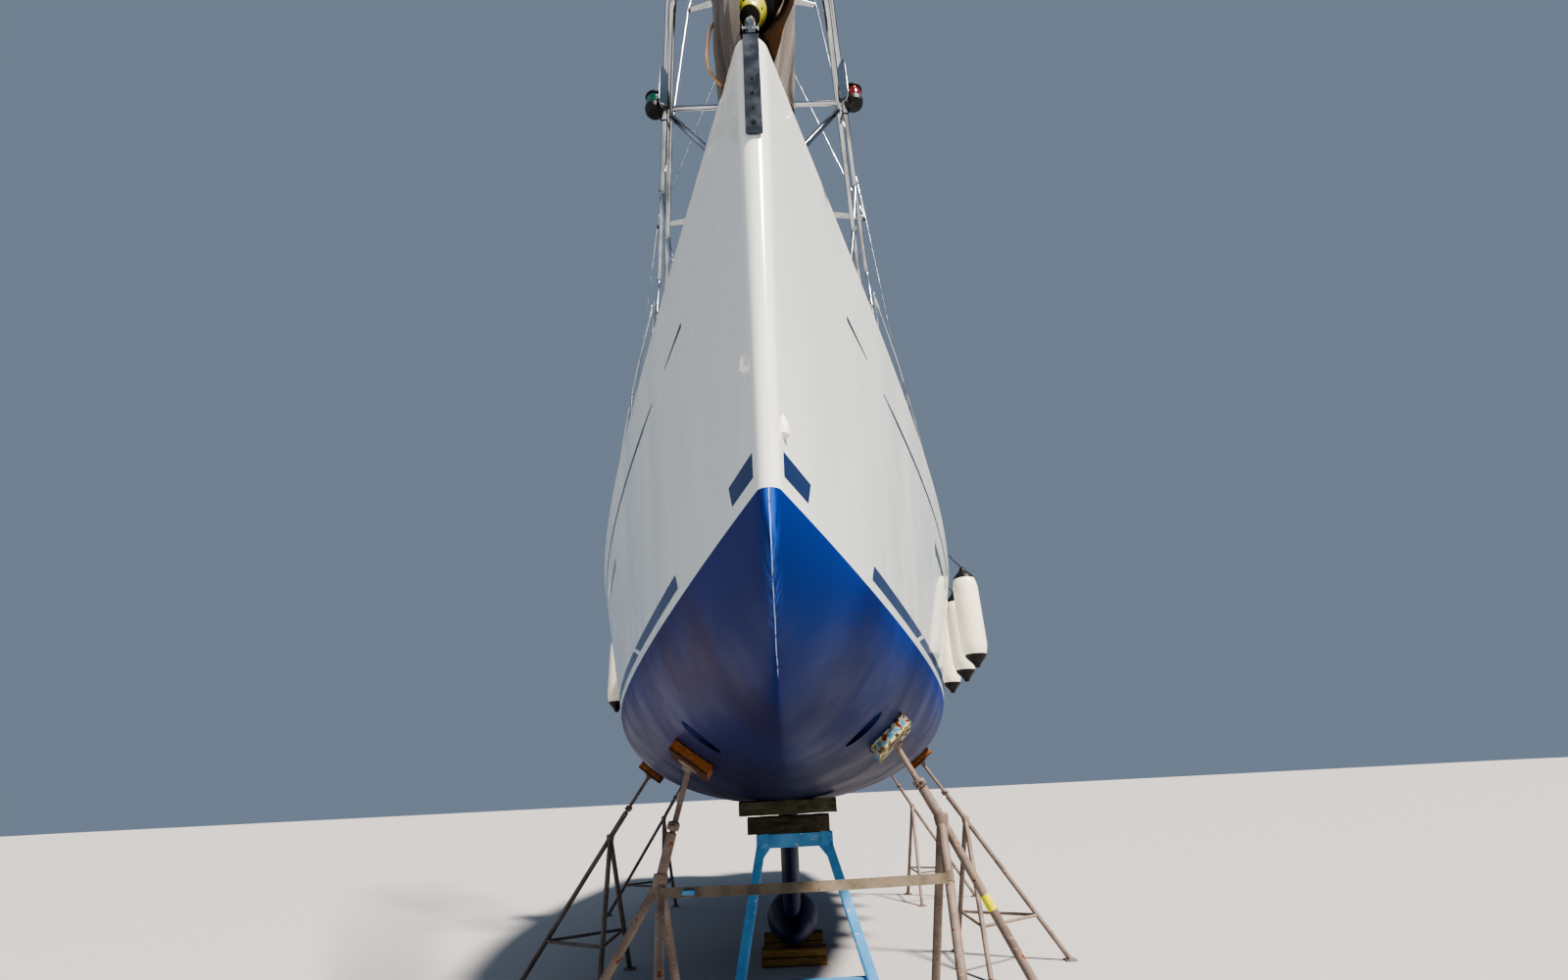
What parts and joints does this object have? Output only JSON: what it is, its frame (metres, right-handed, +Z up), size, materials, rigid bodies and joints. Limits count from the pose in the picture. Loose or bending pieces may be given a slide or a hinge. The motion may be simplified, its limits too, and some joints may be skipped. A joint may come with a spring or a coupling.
{
  "type": "cruising sailing yacht ashore on stands",
  "caption": "Cruising sailing yacht with a bulb keel, steering wheels and a furled headsail, standing ashore on keel blocks, a bow trestle and tripod props.",
  "frame": {"origin": "on the ground, under the middle of the yacht's length, on its centreline", "axes": "+Z up, +Y from the bow to the stern, +X to port"},
  "size_m": [5.7666, 14.1415, 19.6],
  "materials": {
    "gelcoat": "polished white gelcoat",
    "deck_gelcoat": "off-white deck gelcoat with a fine grip",
    "tinted_glass": "dark tinted acrylic",
    "antifouling": "worn royal-blue antifouling",
    "bronze": "dull bronze",
    "black_plastic": "black moulded plastic",
    "engine_grey": "grey enamel",
    "stainless": "polished stainless steel",
    "spar_alloy": "clear anodised spar",
    "red_lens": "red lens",
    "green_lens": "green lens",
    "canvas": "taupe acrylic canvas",
    "fender_vinyl": "cream vinyl with black ends",
    "trestle_blue": "chipped light-blue paint",
    "dark_timber": "weathered dark timber",
    "yellow_timber": "weathered yellow-painted timber",
    "prop_steel": "worn grey-brown steel tube"
  },
  "bodies": {
    "root": {"hull": "gelcoat", "deck": "deck_gelcoat", "roof_window_port": "tinted_glass", "roof_window_starboard": "tinted_glass", "hull_window_port": "tinted_glass", "hull_window_starboard": "tinted_glass", "keel": "antifouling", "shaft_bracket": "bronze", "thruster_leg": "bronze", "engine": "engine_grey", "stem_fitting": "stainless", "pulpit": "stainless", "bow_light_port": "red_lens", "bow_light_starboard": "green_lens", "lifelines_port": "stainless", "lifelines_starboard": "stainless", "mast": "spar_alloy", "shrouds_port": "stainless", "shrouds_starboard": "stainless", "backstay": "stainless", "pedestal_port": "deck_gelcoat", "pedestal_starboard": "deck_gelcoat", "winch_port": "stainless", "winch_starboard": "stainless", "washboard": "tinted_glass", "ladder_lugs": "stainless", "fender_port_1": "fender_vinyl", "fender_port_2": "fender_vinyl", "fender_port_3": "fender_vinyl", "fender_port_4": "fender_vinyl", "fender_port_5": "fender_vinyl", "fender_starboard": "fender_vinyl", "trestle": "trestle_blue", "trestle_timbers": "dark_timber", "keel_block_fore": "yellow_timber", "keel_block_aft": "yellow_timber", "tripod_fore_port": "prop_steel", "tripod_fore_starboard": "prop_steel", "tripod_middle_port": "prop_steel", "tripod_middle_starboard": "prop_steel", "tripod_aft_port": "prop_steel", "tripod_aft_starboard": "prop_steel"},
    "rudder_body": {"rudder": "antifouling"},
    "wheel_port_body": {"wheel_port": "stainless"},
    "wheel_starboard_body": {"wheel_starboard": "stainless"},
    "propeller_body": {"propeller": "bronze"},
    "thruster_body": {"thruster_propeller": "black_plastic"},
    "furler_body": {"furler_drum": "black_plastic", "furled_headsail": "canvas"},
    "boom_body": {"boom": "spar_alloy", "stowed_sail": "canvas"},
    "anchor_lid_body": {"anchor_locker_lid": "deck_gelcoat"},
    "forward_hatch_body": {"forward_hatch": "tinted_glass"},
    "roof_hatch_body": {"roof_hatch": "tinted_glass"},
    "slide_body": {"companionway_slide": "tinted_glass"},
    "ladder_body": {"bathing_ladder": "stainless"}
  },
  "joints": [
    {"name": "rudder_turn", "type": "hinge", "parent": "root", "child": "rudder_body", "pos_m": [0, 5.76, 2], "axis": [0, 0, 1], "range_deg": [-35, 35]},
    {"name": "wheel_port_turn", "type": "hinge", "parent": "root", "child": "wheel_port_body", "pos_m": [0.86, 5.3, 3.86], "axis": [0, 1, 0], "range_deg": [-281, 281]},
    {"name": "wheel_starboard_turn", "type": "hinge", "parent": "root", "child": "wheel_starboard_body", "pos_m": [-0.86, 5.3, 3.86], "axis": [0, 1, 0], "range_deg": [-281, 281]},
    {"name": "propeller_turn", "type": "hinge", "parent": "root", "child": "propeller_body", "pos_m": [0, 1.61, 1.636], "axis": [0, 0.9877, -0.1564], "continuous": true},
    {"name": "thruster_turn", "type": "hinge", "parent": "root", "child": "thruster_body", "pos_m": [0.05, -4.99, 1.867], "axis": [1, 0, 0], "continuous": true},
    {"name": "furler_turn", "type": "hinge", "parent": "root", "child": "furler_body", "pos_m": [0, -6.96, 4.11], "axis": [0, 0.3134, 0.9496], "continuous": true},
    {"name": "boom_swing", "type": "hinge", "parent": "root", "child": "boom_body", "pos_m": [0, -1.96, 5.15], "axis": [0, 0.0213, 0.9998], "range_deg": [-65, 65]},
    {"name": "anchor_lid_lift", "type": "hinge", "parent": "root", "child": "anchor_lid_body", "pos_m": [0, -5.39, 3.9224], "axis": [-1, 0, 0], "range_deg": [0, 100]},
    {"name": "forward_hatch_lift", "type": "hinge", "parent": "root", "child": "forward_hatch_body", "pos_m": [0, -4.7, 3.9044], "axis": [1, 0, 0], "range_deg": [0, 100]},
    {"name": "roof_hatch_lift", "type": "hinge", "parent": "root", "child": "roof_hatch_body", "pos_m": [0, -0.75, 4.14], "axis": [1, 0, 0], "range_deg": [0, 100]},
    {"name": "slide_open", "type": "slide", "parent": "root", "child": "slide_body", "axis": [0, -1, 0], "range_m": [0, 0.7]},
    {"name": "ladder_drop", "type": "hinge", "parent": "root", "child": "ladder_body", "pos_m": [0, 6.985, 2.7], "axis": [-1, 0, 0], "range_deg": [0, 180]}
  ],
  "couplings": [
    {"joint": "wheel_port_turn", "follows": "rudder_turn", "ratio": 8},
    {"joint": "wheel_starboard_turn", "follows": "rudder_turn", "ratio": 8}
  ]
}
